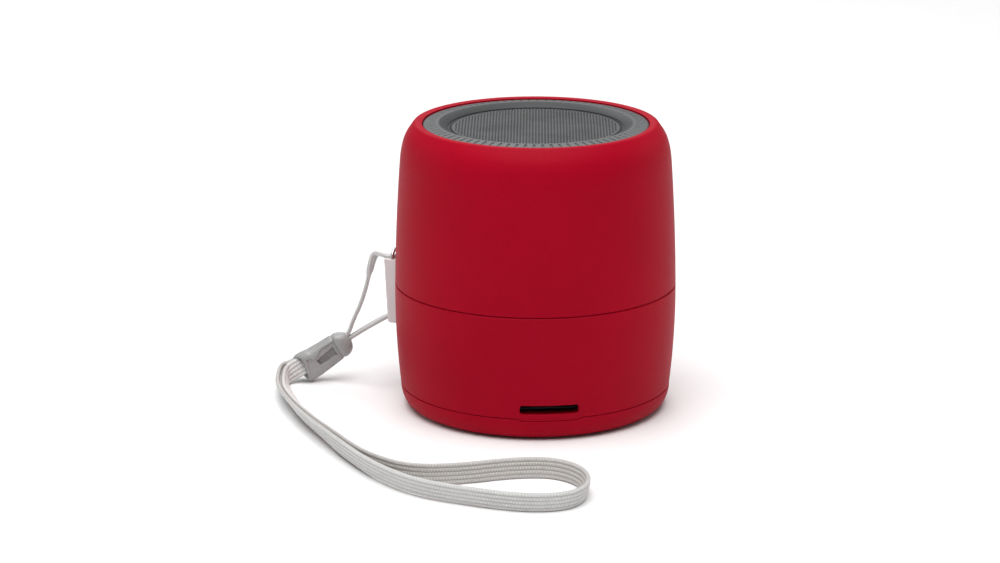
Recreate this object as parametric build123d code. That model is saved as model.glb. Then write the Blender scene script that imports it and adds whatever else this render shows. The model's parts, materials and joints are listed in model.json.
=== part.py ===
from build123d import *
import math
import os

# A pocket-size portable wireless speaker, 60 mm across and 62 mm tall, with a wrist strap.
# Origin: centre of the resting foot, on the surface it stands on. +Z is up, the memory card
# slot faces -Y and the keys face +Y. All lengths are in millimetres, all angles in degrees.

os.makedirs("parts", exist_ok=True)

# ---------------------------------------------------------------- driving dimensions

# outer form, as radius and height
FOOT_EDGE = (26.0, 0.35)         # where the bottom face of the base cap meets its rounded edge
BASE_SEAM_Z = 5.0                # joint between base cap and lower shell
BASE_SEAM_R = 29.0
MID_SEAM_Z = 27.15               # joint between lower and upper shell
MAX_R = 30.1
SHOULDER = (28.87, 54.0)         # where the straight side turns into the shoulder
CROWN = (25.2, 62.0)             # top of the red lip round the grille
LIP_EDGE = (24.15, 61.8)         # inner edge of that lip
SEAM_GAP = 0.12                  # between two red parts
MID_SEAM_EASE = 0.26             # depth of the shallow V that eases a seam's two edges
BASE_SEAM_EASE = 0.15
INNER_R = 28.0                   # inside of both shells at the middle seam

# foot and base cap
FOOT_R = 24.4
FOOT_RECESS_R = 24.5
BASE_FLOOR = (1.2, 2.4)          # underside and top of the base cap's floor
TAB_BOTTOM = 4.7                 # the lower shell dips into the base cap under the card slot
TAB_HALF_WIDTH = 6.1

# fixing points of the base cap and the main board
POST_R = 22.8                    # distance of the posts from the axis
POST_ANGLES = (45, 135, 225, 315)
POST_RADIUS = 2.2
SCREW_R = 0.9
SCREW_HOLE_R = 0.92

# main board and what is on it
BOARD_R = 25.7
BOARD_Z = (8.2, 9.4)
CARD_SLOT = (12.3, 1.95)         # width and height of the opening
CARD_SLOT_Z = 7.05
CARD_SLOT_EASE = 0.25            # radius of its outer edge
SOCKET_Z = 10.75                 # centre height of the charging socket and the power switch
SWITCH_ANGLE = 66                # direction of the power switch, from +X
LIGHT_ANGLE = 114                # direction of the status light
SPEAKER_PLUG = (-17.0, -7.5)     # where the speaker leads plug in
PLUG_HEIGHT = 3.4
LEAD_R = 0.45

# keys
KEY_Z = 17.0
KEY_X = (-7.5, 0.0, 7.5)
KEY_RADIUS = 2.5
KEY_FLANGE_R = 3.0
KEY_BOARD_Y = (20.4, 21.6)
KEY_BOARD_Z = (13.7, 20.3)
SWITCH_HEIGHT = 1.4

# grille
GRILLE_R = 23.9                  # outer radius of the grille ring
GRILLE_RIM = (20.7, 61.93)       # inner edge of its rim, which falls away outwards
GRILLE_EDGE_Z = 61.55            # height of the rim's outer edge
MESH_OPENING_R = 18.6            # inner edge of its sloping wall
MESH_TOP = 61.05

# driver
FLANGE_Z = 55.0                  # underside of the driver's flange
FLANGE_R = 21.6
DRIVER_SCREW_R = 19.8
CARRIER_Z = (53.0, 55.0)
CARRIER_R = 26.2
CARRIER_SCREW_R = 23.9
GAP_R = (4.0, 5.3)               # the magnetic gap: pole radius and top plate bore
TAG_Y = 2.2                      # the two solder tags
TAG_Z = 50.2

# strap bracket, in its own frame: X away from the axis, Y along the wall
BRACKET_ANGLE = 150
BRACKET_Z = (15.3, 29.5)
BRACKET_FACE = (32.55, 33.35)    # distance of the outer face from the axis, bottom and top
BRACKET_HALF_WIDTH = 6.3
TUNNEL_HALF_WIDTH = 4.5
BRIDGE_THICKNESS = 0.9
BRIDGE_Z = (17.4, 28.9)          # the bridge over the tunnel stops short of the side walls
BAIL_RADIUS = 0.4
PEG_Z = 22.4
PEG_Y = 5.4
PEG_R = 0.8

# strap: the ferrule joins a thin tape, which goes through the bracket, to a wide lace
FERRULE_MOUTH = (-50.6, 18.6, 2.55)
FERRULE_TOP_END = (-38.92, 19.02, 9.5)
SLEEVE_LENGTH = 10.2
SLEEVE_SECTION = (4.5, 6.5)
CAP_SECTION = (3.8, 4.8)
LACE_THICKNESS = 0.9
TAPE_THICKNESS = 0.7
LACE_POCKET = 2.5                # how far the lace reaches into the ferrule
LACE_RISE = 0.75                 # how far above the ferrule's axis the lace sits
TAPE_POCKET = 0.9
TAPE_RISE = 0.75
TAPE_LEAD = 1.0                  # straight run of the tape out of the ferrule
GROUND_CLEARANCE = 0.05

# routes of the strap, chosen by hand, one point for each gentle bend
LACE_ROUTE = [
    (-51.9, 19.1, 2.7), (-53.6, 19.3, 2.45), (-54.5, 17.6, 2.3), (-54.75, 13.2, 2.3),
    (-54.55, 6.3, 2.3), (-53.3, -2.5, 2.4), (-51.3, -12.7, 2.6), (-47.5, -24.8, 2.8),
    (-43.2, -37.7, 2.7), (-37.8, -50.2, 2.5), (-30.6, -60.5, 2.3), (-20.4, -66.9, 2.2),
    (-9.2, -72.2, 2.15), (-0.4, -71.6, 2.15), (3.8, -65.6, 2.15), (3.7, -57.4, 2.15),
    (-1.4, -51.2, 2.15), (-10.2, -50.7, 2.15), (-20.9, -53.7, 2.25), (-31.0, -53.4, 2.35),
    (-38.4, -45.7, 2.5), (-43.2, -34.4, 2.7), (-46.8, -23.6, 2.8), (-50.2, -12.4, 2.6),
    (-52.3, -2.3, 2.4), (-53.5, 6.5, 2.3), (-53.7, 12.7, 2.3), (-53.35, 16.4, 2.35),
    (-52.1, 17.9, 2.65),
]
TAPE_ROUTE = [
    (-38.55, 18.6, 13.6), (-36.7, 18.0, 17.7), (-35.35, 17.3, 22.3), (-34.5, 16.7, 26.6),
    (-33.6, 16.1, 29.8), (-32.1, 14.8, 29.65), (-30.65, 13.6, 29.5), (-28.3, 13.2, 29.55),
    (-28.05, 13.4, 26.0), (-27.65, 14.0, 21.8), (-27.2, 14.7, 18.6), (-26.95, 15.1, 15.9),
    (-29.2, 16.25, 15.75), (-31.25, 16.9, 15.0), (-33.45, 17.6, 13.6), (-36.05, 18.3, 11.9),
]

ON_BASE = (Align.CENTER, Align.CENTER, Align.MIN)
FULL_TURN = 360


# ---------------------------------------------------------------- helpers

def save(node, pieces):
    """Write one node's solids, and print what was written."""
    pieces = pieces if isinstance(pieces, list) else [pieces]
    solids = [solid for piece in pieces for solid in piece.solids()]
    whole = solids[0] if len(solids) == 1 else Compound(children=solids)
    export_step(whole, f"parts/{node}.step")
    print(f"{node}: {len(solids)} solid(s), {sum(solid.volume for solid in solids):.1f} mm3")


def cylinder(radius, bottom, top, x=0.0, y=0.0):
    return Pos(x, y, bottom) * Cylinder(radius, top - bottom, align=ON_BASE)


def ring(outer, inner, bottom, top, x=0.0, y=0.0):
    return cylinder(outer, bottom, top, x, y) - cylinder(inner, bottom, top, x, y)


def block(x, y, z):
    """A box from its lowest and highest values along each axis."""
    size = (x[1] - x[0], y[1] - y[0], z[1] - z[0])
    centre = ((x[0] + x[1]) / 2, (y[0] + y[1]) / 2, (z[0] + z[1]) / 2)
    return Pos(*centre) * Box(*size)


def turned(edges):
    """A solid of revolution about Z from a closed outline of radius and height."""
    return revolve(Plane.XZ * make_face(edges), Axis.Z, FULL_TURN)


def turned_points(*points):
    return turned(Polyline(*points, close=True))


def around(piece, angle):
    """Turn a piece modelled facing +X to face another direction."""
    return Rot(0, 0, angle) * piece


def at_polar(radius, angle):
    return radius * math.cos(math.radians(angle)), radius * math.sin(math.radians(angle))


def pan_screw(x, y, seat, length, head_r, head_height):
    """A pan head screw driven downwards, its head resting on the seat."""
    screw = cylinder(SCREW_R, seat - length, seat, x, y)
    screw += cylinder(head_r, seat, seat + head_height, x, y)
    recess = Pos(x, y, seat + head_height) * (Box(head_r, 0.4, 0.8) + Box(0.4, head_r, 0.8))
    return screw - recess


def corner_radii(points, share=0.45):
    """The largest gentle radius at each inner point of a route."""
    radii = []
    for before, corner, after in zip(points, points[1:], points[2:]):
        arriving = Vector(*corner) - Vector(*before)
        leaving = Vector(*after) - Vector(*corner)
        half_turn = math.radians(arriving.get_angle(leaving)) / 2
        radii.append(share * min(arriving.length, leaving.length) / math.tan(half_turn))
    return radii


def tube(name, points, radius):
    """A round tube along straight runs joined by tangent arcs."""
    radii = corner_radii(points)
    path = FilletPolyline(*points, radius=radii)
    start = Plane(origin=path @ 0, z_dir=path % 0)
    solid = sweep(start * Circle(radius), path=path)
    nominal = math.pi * radius ** 2 * path.length
    print(f"{name}: length {path.length:.1f} mm, smallest radius {min(radii):.2f} mm,",
          f"volume {solid.volume / nominal:.4f} of section times length")
    return solid


# ---------------------------------------------------------------- casing

def side_profile():
    """The red outside from the base seam over the crown to the grille, as joined curves."""
    side_low = ThreePointArc((BASE_SEAM_R, BASE_SEAM_Z), (29.85, 15.0), (MAX_R, MID_SEAM_Z))
    side_high = ThreePointArc((MAX_R, MID_SEAM_Z), (29.7, 40.0), SHOULDER)
    shoulder = Spline(SHOULDER, (28.4, 57.1), (27.35, 59.8), (26.35, 61.25), CROWN,
                      tangents=[side_high % 1, (-1, 0)])
    lip = TangentArc(CROWN, LIP_EDGE, tangent=(-1, 0))
    return side_low + side_high + shoulder + lip


def outer_form():
    """Everything inside the red outside, as one solid."""
    closing = Polyline(LIP_EDGE, (0, LIP_EDGE[1]), (0, BASE_SEAM_Z), (BASE_SEAM_R, BASE_SEAM_Z))
    return turned(side_profile() + closing)


def seam_ease(radius, z, depth):
    """The shallow V all round a seam that eases the edges of the two parts."""
    reach = depth + 1
    return turned_points((radius - depth, z), (radius + 1, z + reach), (radius + 1, z - reach))


def upper_shell(form):
    bottom = MID_SEAM_Z + SEAM_GAP / 2
    hollow = turned_points(
        (0, bottom), (29.0, bottom), (29.0, 28.5), (INNER_R, 28.5), (INNER_R, 34.0),
        (26.9, 53.6), (26.4, 56.6), (25.6, 58.4), (20.4, 58.4), (20.4, 60.0),
        (24.15, 60.0), (24.15, 63.0), (0, 63.0))
    shell = (form & cylinder(MAX_R + 1, bottom, 63)) - hollow
    shell -= ring(INNER_R + 0.4, INNER_R - 1, 30.0, 30.8)
    shell -= seam_ease(MAX_R, MID_SEAM_Z, MID_SEAM_EASE)
    for angle in (0, 120, 240):
        x, y = at_polar(CARRIER_SCREW_R, angle)
        shell += cylinder(2.1, CARRIER_Z[1], 58.6, x, y) & form
        shell -= cylinder(SCREW_HOLE_R, CARRIER_Z[1] - 1, 58.0, x, y)
    return shell


def card_slot_opening():
    """The opening for the memory card, through the front wall."""
    width, height = CARD_SLOT
    face = Pos(0, 0, CARD_SLOT_Z) * (Plane.XZ * RectangleRounded(width, height, 0.6))
    return extrude(face, 32) & block((-10, 10), (-32, -20), (0, 20))


def base_tab(half_width, bottom, top):
    """The middle of the front edge, where the lower shell reaches down into the base cap."""
    outline = Polyline((-half_width, bottom), (half_width, bottom),
                       (half_width + top - bottom, top), (bottom - top - half_width, top),
                       close=True)
    return extrude(Plane.XZ * make_face(outline), 32) & block((-10, 10), (-32, -20), (0, 20))


def lower_shell(form):
    top = MID_SEAM_Z - SEAM_GAP / 2
    bottom = BASE_SEAM_Z + SEAM_GAP / 2
    hollow = turned_points((0, 0), (27.0, 0), (27.0, 7.0), (INNER_R, 20.0), (INNER_R, 30),
                           (0, 30))
    shell = form & cylinder(MAX_R + 1, bottom, top)
    tongue = ring(28.9, INNER_R, top - 1, 28.3)
    shell -= seam_ease(MAX_R, MID_SEAM_Z, MID_SEAM_EASE)
    shell -= seam_ease(BASE_SEAM_R, BASE_SEAM_Z, BASE_SEAM_EASE)
    tab = ring(BASE_SEAM_R - 0.03, 27.8, TAB_BOTTOM, bottom + 0.3)
    tab &= base_tab(TAB_HALF_WIDTH, TAB_BOTTOM, bottom + 0.3)
    shell = (shell + tongue + tab) - hollow
    shell -= ring(INNER_R + 0.4, INNER_R - 1, 24.0, 24.8)
    for angle in POST_ANGLES:
        x, y = at_polar(POST_R, angle)
        gusset = around(block((POST_R, 27.4), (-0.7, 0.7), (6.1, BOARD_Z[0])), angle)
        shell += cylinder(POST_RADIUS, BASE_FLOOR[1], BOARD_Z[0], x, y) + gusset
        shell -= cylinder(SCREW_HOLE_R, 0, BOARD_Z[0] + 1, x, y)
    shell -= card_slot_opening()
    shell = fillet(outer_slot_edges(shell), CARD_SLOT_EASE)
    # charging socket, power switch and status light, on the key side
    socket_face = Pos(0, 0, SOCKET_Z) * (Plane.XZ * RectangleRounded(9.0, 3.6, 1.2))
    shell -= extrude(socket_face, -32)
    shell -= around(block((25, 32), (-3.4, 3.4), (SOCKET_Z - 1.1, SOCKET_Z + 1.1)), SWITCH_ANGLE)
    light_hole = Pos(0, 0, SOCKET_Z) * (Rot(0, 90, 0) * cylinder(0.82, 20, 32))
    shell -= around(light_hole, LIGHT_ANGLE)
    for x in KEY_X:
        shell -= key_bore(x, KEY_RADIUS + 0.12)
    # holes of the strap bracket's pegs
    for side in (-1, 1):
        peg_hole = Pos(0, side * PEG_Y, PEG_Z) * (Rot(0, 90, 0) * cylinder(PEG_R + 0.02, 20, 32))
        shell -= around(peg_hole, BRACKET_ANGLE)
    return shell


def outer_slot_edges(shell):
    """The edges of the card slot that lie on the shell's outside."""
    width, height = CARD_SLOT

    def on_slot(edge):
        middle = edge.position_at(0.5)
        return (middle.Y < 0 and abs(middle.X) < width / 2 + 0.1
                and abs(middle.Z - CARD_SLOT_Z) < height / 2 + 0.1
                and math.hypot(middle.X, middle.Y) > BASE_SEAM_R - 0.1)

    return shell.edges().filter_by(on_slot)


def key_bore(x, radius, near=24.0, far=33.0):
    """A cylinder along +Y where a key passes through the wall."""
    return Pos(x, 0, KEY_Z) * (Rot(-90, 0, 0) * cylinder(radius, near, far))


def base_cap():
    centre_z = BASE_SEAM_Z - SEAM_GAP / 2
    edge = EllipticalCenterArc((FOOT_EDGE[0], centre_z), BASE_SEAM_R - FOOT_EDGE[0],
                               centre_z - FOOT_EDGE[1], 270, arc_size=90)
    inside = Polyline((BASE_SEAM_R, centre_z), (26.9, centre_z), (26.9, 5.9), (25.6, 5.9),
                      (25.6, 3.4), (25.2, BASE_FLOOR[1]), (0, BASE_FLOOR[1]),
                      (0, BASE_FLOOR[0]), (FOOT_RECESS_R, BASE_FLOOR[0]),
                      (FOOT_RECESS_R, FOOT_EDGE[1]), FOOT_EDGE)
    cap = turned(edge + inside)
    cap -= base_tab(TAB_HALF_WIDTH + SEAM_GAP, TAB_BOTTOM - SEAM_GAP, 6) - cylinder(26.95, 0, 6)
    cap -= seam_ease(BASE_SEAM_R, BASE_SEAM_Z, BASE_SEAM_EASE)
    for angle in POST_ANGLES:
        x, y = at_polar(POST_R, angle)
        cap -= cylinder(SCREW_R + 0.15, 0, 3, x, y)
        cap -= Pos(x, y, BASE_FLOOR[0]) * Cone(1.75, SCREW_R + 0.15, 0.7, align=ON_BASE)
    return cap


def base_screws():
    """Countersunk screws driven upwards from under the foot."""
    screws = []
    for angle in POST_ANGLES:
        x, y = at_polar(POST_R, angle)
        head = Pos(x, y, BASE_FLOOR[0]) * Cone(1.65, SCREW_R, 0.7, align=ON_BASE)
        recess = Pos(x, y, BASE_FLOOR[0]) * (Box(1.8, 0.35, 0.7) + Box(0.35, 1.8, 0.7))
        screws.append(head + cylinder(SCREW_R, BASE_FLOOR[0] + 0.6, 5.2, x, y) - recess)
    return screws


def mid_frame():
    """The inner band that both shells snap onto."""
    band = ring(INNER_R, 26.0, 20.6, 34.0)
    band += ring(INNER_R + 0.35, 27.0, 24.1, 24.7)
    band += ring(INNER_R + 0.35, 27.0, 30.1, 30.7)
    flat = block((25.0, 26.2), (-7.4, 7.4), (PEG_Z - 2.0, PEG_Z + 2.0))
    band -= around(flat, BRACKET_ANGLE)
    for side in (-1, 1):
        peg_hole = Pos(0, side * PEG_Y, PEG_Z) * (Rot(0, 90, 0) * cylinder(PEG_R + 0.02, 20, 32))
        band -= around(peg_hole, BRACKET_ANGLE)
    return band


# ---------------------------------------------------------------- strap bracket and bail

def strap_bail():
    """A steel wire over the mouth of the bracket's tunnel, its feet in the side walls."""
    foot = (31.6, 5.3, 28.0)
    top = (31.9, 4.9, 31.3)
    points = [foot, top, (top[0], -top[1], top[2]), (foot[0], -foot[1], foot[2])]
    path = FilletPolyline(*points, radius=1.8)
    wire = sweep(Plane(origin=path @ 0, z_dir=path % 0) * Circle(BAIL_RADIUS), path=path)
    return around(wire, BRACKET_ANGLE)


def strap_bracket(form, bail):
    """A white block on the casing, with a tunnel down its middle behind a thin bridge."""
    low, high = BRACKET_Z
    outline = Polyline((25, low), (BRACKET_FACE[0], low), (BRACKET_FACE[1], high), (25, high),
                       close=True)
    body = extrude(Plane.XZ * make_face(outline), BRACKET_HALF_WIDTH, both=True)
    upright = body.edges().filter_by(lambda edge: edge.center().X > 31 and
                                     abs(edge.center().Y) > BRACKET_HALF_WIDTH - 0.1)
    body = fillet(upright, 0.5)
    tunnel = Polyline((25, low - 1), (BRACKET_FACE[0] - BRIDGE_THICKNESS, low - 1),
                      (BRACKET_FACE[0] - BRIDGE_THICKNESS, low),
                      (BRACKET_FACE[1] - BRIDGE_THICKNESS, high),
                      (BRACKET_FACE[1] - BRIDGE_THICKNESS, high + 1), (25, high + 1), close=True)
    body -= extrude(Plane.XZ * make_face(tunnel), TUNNEL_HALF_WIDTH, both=True)
    mouth_width = (-TUNNEL_HALF_WIDTH, TUNNEL_HALF_WIDTH)
    body -= block((25, 36), mouth_width, (low - 1, BRIDGE_Z[0]))
    body -= block((25, 36), mouth_width, (BRIDGE_Z[1], high + 1))
    foot_edge = body.edges().filter_by(lambda edge: edge.center().X > 32 and
                                       edge.center().Z < low + 0.1)
    body = fillet(foot_edge, 0.6)
    body = around(body, BRACKET_ANGLE) - form - bail
    for side in (-1, 1):
        peg = Pos(0, side * PEG_Y, PEG_Z) * (Rot(0, 90, 0) * cylinder(PEG_R, 26.0, 30.5))
        head = Pos(0, side * PEG_Y, PEG_Z) * (Rot(0, 90, 0) * cylinder(1.5, 25.5, 26.2))
        body += around(peg + head, BRACKET_ANGLE)
    return body


# ---------------------------------------------------------------- grille

def grille_ring():
    profile = [(MESH_OPENING_R, MESH_TOP), GRILLE_RIM, (GRILLE_R - 0.15, GRILLE_EDGE_Z),
               (GRILLE_R, GRILLE_EDGE_Z - 0.15), (GRILLE_R, 60.0), (21.3, 60.0),
               (21.3, 60.75), (MESH_OPENING_R, 60.75)]
    return turned_points(*profile)


def grille_mesh():
    """A thin pressed disc, slightly domed, clamped under the grille ring."""
    dome_top = TangentArc((0, 61.35), (MESH_OPENING_R, 60.75), tangent=(1, 0))
    dome_low = TangentArc((0, 60.85), (MESH_OPENING_R, 60.25), tangent=(1, 0))
    rim = Polyline((MESH_OPENING_R, 60.25), (21.2, 60.25), (21.2, 60.75),
                   (MESH_OPENING_R, 60.75))
    return turned(dome_top + Line((0, 61.35), (0, 60.85)) + dome_low + rim)


def dust_cloth():
    return cylinder(21.2, 60.0, 60.25)


# ---------------------------------------------------------------- driver

def driver_carrier():
    plate = ring(CARRIER_R, 18.2, *CARRIER_Z)
    for angle in (0, 120, 240):
        x, y = at_polar(CARRIER_SCREW_R, angle)
        plate -= cylinder(SCREW_R + 0.2, *CARRIER_Z, x, y)
    for angle in POST_ANGLES:
        x, y = at_polar(DRIVER_SCREW_R, angle)
        plate -= cylinder(SCREW_HOLE_R, *CARRIER_Z, x, y)
    return plate


def carrier_screws():
    """Driven upwards through the carrier into the upper shell."""
    screws = []
    for angle in (0, 120, 240):
        x, y = at_polar(CARRIER_SCREW_R, angle)
        head = cylinder(1.7, CARRIER_Z[0] - 1.2, CARRIER_Z[0], x, y)
        recess = Pos(x, y, CARRIER_Z[0] - 1.2) * (Box(1.8, 0.4, 0.8) + Box(0.4, 1.8, 0.8))
        screws.append(cylinder(SCREW_R, CARRIER_Z[0], 57.6, x, y) + head - recess)
    return screws


def driver_basket():
    """A pressed steel frame: flange, four windows in the cone wall, and a seat for the magnet."""
    outline = [(FLANGE_R, FLANGE_Z), (FLANGE_R, 56.0), (17.4, 56.0), (16.9, 55.6), (11.6, 46.2),
               (8.0, 46.2), (8.0, 45.2), (12.1, 45.2), (17.6, FLANGE_Z)]
    basket = turned_points(*outline)
    for angle in POST_ANGLES:
        window = block((9.0, 17.2), (-4.0, 4.0), (47.6, 53.4))
        basket -= around(window, angle)
    for angle in POST_ANGLES:
        x, y = at_polar(DRIVER_SCREW_R, angle)
        basket -= cylinder(SCREW_R + 0.15, FLANGE_Z, 57, x, y)
    return basket


def driver_gasket():
    return ring(FLANGE_R, 20.85, 56.0, 58.4)


def driver_screws():
    places = [at_polar(DRIVER_SCREW_R, angle) for angle in POST_ANGLES]
    return [pan_screw(x, y, 56.0, 2.8, 1.0, 0.8) for x, y in places]


def driver_surround():
    """A half-roll of rubber between the cone and the flange."""
    outer = ThreePointArc((17.5, 56.0), (15.9, 57.6), (14.3, 56.0))
    inner = ThreePointArc((14.7, 56.0), (15.9, 57.2), (17.1, 56.0))
    return turned(outer + Line((14.3, 56.0), (14.7, 56.0)) + inner
                  + Line((17.1, 56.0), (17.5, 56.0)))


def driver_cone():
    return turned_points((5.0, 50.2), (14.7, 55.6), (14.7, 56.0), (14.2, 56.0), (4.7, 50.7),
                         (4.7, 50.2))


def driver_dust_cap():
    top = TangentArc((0, 53.4), (6.2, 51.6), tangent=(1, 0))
    low = TangentArc((0, 53.1), (5.8, 51.4), tangent=(1, 0))
    return turned(top + Line((0, 53.4), (0, 53.1)) + low + Line((5.8, 51.4), (6.2, 51.6)))


def voice_coil_former():
    return ring(4.7, 4.4, 41.6, 50.7)


def voice_coil():
    return ring(5.0, 4.7, 41.8, 45.8)


def driver_spider():
    """A corrugated cloth cup that centres the voice coil."""
    top = [(4.7, 48.9), (5.8, 48.9), (6.7, 48.3), (7.6, 48.6), (8.5, 47.9), (9.4, 48.1),
           (10.2, 47.3), (11.0, 47.3)]
    profile = top + [(radius, height - 0.3) for radius, height in reversed(top)]
    return turned_points(*profile)


def spider_ring():
    """The card ring that lifts the spider's edge off the basket's seat."""
    return ring(11.0, 10.0, 46.2, 47.0)


def driver_top_plate():
    return ring(11.5, GAP_R[1], 43.2, 45.2)


def driver_magnet():
    return ring(12.0, 6.4, 38.2, 43.2)


def driver_yoke():
    return cylinder(11.2, 36.4, 38.2) + cylinder(GAP_R[0], 38.2, 45.0)


def driver_terminals():
    """A small card with two solder tags, on the outside of the basket."""
    cone = turned_points((0, 45.2), (12.1, 45.2), (17.6, FLANGE_Z), (0, FLANGE_Z))
    card = block((-18.0, -13.0), (-3.6, 3.6), (50.0, 51.0)) - cone
    for y in (-TAG_Y, TAG_Y):
        card += block((-19.0, -18.0), (y - 0.7, y + 0.7), (TAG_Z, 50.8))
    return card


# ---------------------------------------------------------------- electronics and power

def main_board():
    board = cylinder(BOARD_R, *BOARD_Z)
    board -= block((-15, 15), (24.4, 27), BOARD_Z)
    for angle in POST_ANGLES:
        x, y = at_polar(POST_R, angle)
        board -= cylinder(SCREW_R + 0.1, *BOARD_Z, x, y)
    return board


def board_screws():
    places = [at_polar(POST_R, angle) for angle in POST_ANGLES]
    return [pan_screw(x, y, BOARD_Z[1], 3.6, 1.7, 1.1) for x, y in places]


def card_socket():
    shell = block((-7.0, 7.0), (-25.4, -11.6), (6.2, BOARD_Z[0]))
    return shell - block((-5.8, 5.8), (-26, -12.6), (CARD_SLOT_Z - 0.4, CARD_SLOT_Z + 0.4))


def usb_socket():
    half = 1.3
    shell = block((-3.8, 3.8), (18.8, 24.4), (BOARD_Z[1], BOARD_Z[1] + 2 * half))
    cavity = block((-3.4, 3.4), (19.6, 25), (BOARD_Z[1] + 0.4, BOARD_Z[1] + 2 * half - 0.4))
    tongue = block((-2.6, 2.6), (19.2, 23.9), (SOCKET_Z - 0.35, SOCKET_Z + 0.05))
    return shell - cavity + tongue


def power_switch_body():
    body = block((21.0, 24.0), (-4.2, 4.2), (BOARD_Z[1], BOARD_Z[1] + 2.8))
    body -= block((22.0, 25.0), (-2.2, 2.2), (SOCKET_Z - 0.8, SOCKET_Z + 0.8))
    return around(body, SWITCH_ANGLE)


def power_switch_knob():
    """Shown in the off position, a millimetre to one side of the middle."""
    stem = block((22.2, 28.0), (-1.9, 0.1), (SOCKET_Z - 0.6, SOCKET_Z + 0.6))
    thumb = block((27.6, 30.0), (-2.4, 0.6), (SOCKET_Z - 0.95, SOCKET_Z + 0.95))
    ribs = [block((29.7, 31), (y - 0.15, y + 0.15), (9, 12)) for y in (-1.7, -0.9, -0.1)]
    return around(stem + thumb - ribs[0] - ribs[1] - ribs[2], SWITCH_ANGLE)


def status_light():
    """The light-emitting diode on the board."""
    return around(block((22.6, 24.0), (-0.8, 0.8), (BOARD_Z[1], SOCKET_Z + 0.4)), LIGHT_ANGLE)


def light_pipe(form):
    pipe = Pos(0, 0, SOCKET_Z) * (Rot(0, 90, 0) * cylinder(0.8, 24.0, 32))
    collar = Pos(0, 0, SOCKET_Z) * (Rot(0, 90, 0) * cylinder(1.3, 24.6, 25.6))
    return around(pipe + collar, LIGHT_ANGLE) & form


def wireless_module():
    base = block((-15.5, -4.5), (-3.0, 9.0), (BOARD_Z[1], BOARD_Z[1] + 0.8))
    return base + block((-14.9, -5.1), (-2.4, 6.4), (BOARD_Z[1] + 0.8, BOARD_Z[1] + 2.2))


def amplifier_chips():
    return [block((2.0, 8.0), (-6.0, 0.0), (BOARD_Z[1], BOARD_Z[1] + 1.5)),
            block((11.0, 15.0), (2.0, 6.0), (BOARD_Z[1], BOARD_Z[1] + 1.2))]


def board_capacitors():
    places = [(4.0, 8.0), (11.5, -7.5), (17.5, -3.0)]
    return [cylinder(2.5, BOARD_Z[1], BOARD_Z[1] + 5.4, x, y) for x, y in places]


def battery_pad():
    return block((-14.0, 14.0), (-9.0, 9.0), (BASE_FLOOR[1], 3.0))


def battery_cell():
    """A flat lithium pouch cell with its sealed tab end."""
    cell = block((-14.5, 14.5), (-10.0, 10.0), (3.0, 7.4))
    cell = fillet(cell.edges().filter_by(Axis.X), 1.2)
    return cell + block((14.5, 16.5), (-9.0, 9.0), (4.6, 5.6))


def wire_plug(x, y):
    """A two-way board connector, open on the side that the leads enter."""
    return block((x - 2.5, x + 2.5), (y - 1.8, y + 1.8), (BOARD_Z[1], BOARD_Z[1] + PLUG_HEIGHT))


def battery_leads():
    """From the cell's sealed end to the pads under the board."""
    leads = []
    for y in (-2.5, -0.5):
        points = [(16.5, y, 5.1), (18.8, y, 5.2), (19.6, y - 0.5, 6.3), (19.6, y - 0.5, BOARD_Z[0])]
        leads.append(tube("battery lead", points, LEAD_R))
    return leads


def speaker_leads():
    """From the connector up the inside to the driver's tags."""
    leads = []
    plug_x, plug_y = SPEAKER_PLUG
    for side in (-1, 1):
        points = [(plug_x + side, plug_y, BOARD_Z[1] + PLUG_HEIGHT),
                  (plug_x + side, plug_y + 0.3, 19.0), (-20.5, -5.0 + side * 1.1, 29.0),
                  (-21.2, -2.6 + side * 1.8, 39.0), (-18.6, side * TAG_Y, 46.0),
                  (-18.5, side * TAG_Y, TAG_Z)]
        leads.append(tube("speaker lead", points, LEAD_R))
    return leads


# ---------------------------------------------------------------- keys

def key_board():
    low, high = KEY_BOARD_Y
    board = block((-12.0, 12.0), (low, high), KEY_BOARD_Z)
    for x in (-11.0, 11.0):
        board -= Pos(x, 0, KEY_BOARD_Z[1] - 1.2) * (Rot(-90, 0, 0) * cylinder(0.7, low, high))
    return board


def key_frame():
    """The moulded rail that carries the key board, standing on the main board."""
    depth = (KEY_BOARD_Y[0] - 1.8, KEY_BOARD_Y[0])
    rail = block((-16.0, 16.0), depth, KEY_BOARD_Z)
    rail -= block((-9.5, 9.5), depth, (KEY_BOARD_Z[0] + 1.5, KEY_BOARD_Z[1]))
    for side in (-1, 1):
        pin_place = Pos(side * 11.0, 0, KEY_BOARD_Z[1] - 1.2)
        rail += pin_place * (Rot(-90, 0, 0) * cylinder(0.68, depth[0], KEY_BOARD_Y[1] + 0.5))
        leg_x = sorted((side * 14.2, side * 16.0))
        rail += block(leg_x, depth, (BOARD_Z[1], KEY_BOARD_Z[0]))
    return rail


def key_switches():
    low = KEY_BOARD_Y[1]
    switches = []
    for x in KEY_X:
        switch = block((x - 2.2, x + 2.2), (low, low + SWITCH_HEIGHT), (KEY_Z - 2.2, KEY_Z + 2.2))
        plunger = cylinder(0.9, low + SWITCH_HEIGHT, low + SWITCH_HEIGHT + 0.1)
        switches.append(switch + Pos(x, 0, KEY_Z) * (Rot(-90, 0, 0) * plunger))
    return switches


def key_button(x, key_form):
    """A round key with a retaining flange inside the wall; its face follows the casing."""
    far = math.sqrt(27.6 ** 2 - (abs(x) + KEY_FLANGE_R) ** 2) - 0.15
    near = KEY_BOARD_Y[1] + SWITCH_HEIGHT + 0.5
    flange = Pos(x, 0, KEY_Z) * (Rot(-90, 0, 0) * cylinder(KEY_FLANGE_R, far - 0.7, far))
    stem = Pos(x, 0, KEY_Z) * (Rot(-90, 0, 0) * cylinder(1.0, near, far))
    barrel = key_bore(x, KEY_RADIUS, far - 0.1) & key_form
    return flange + stem + barrel


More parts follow.
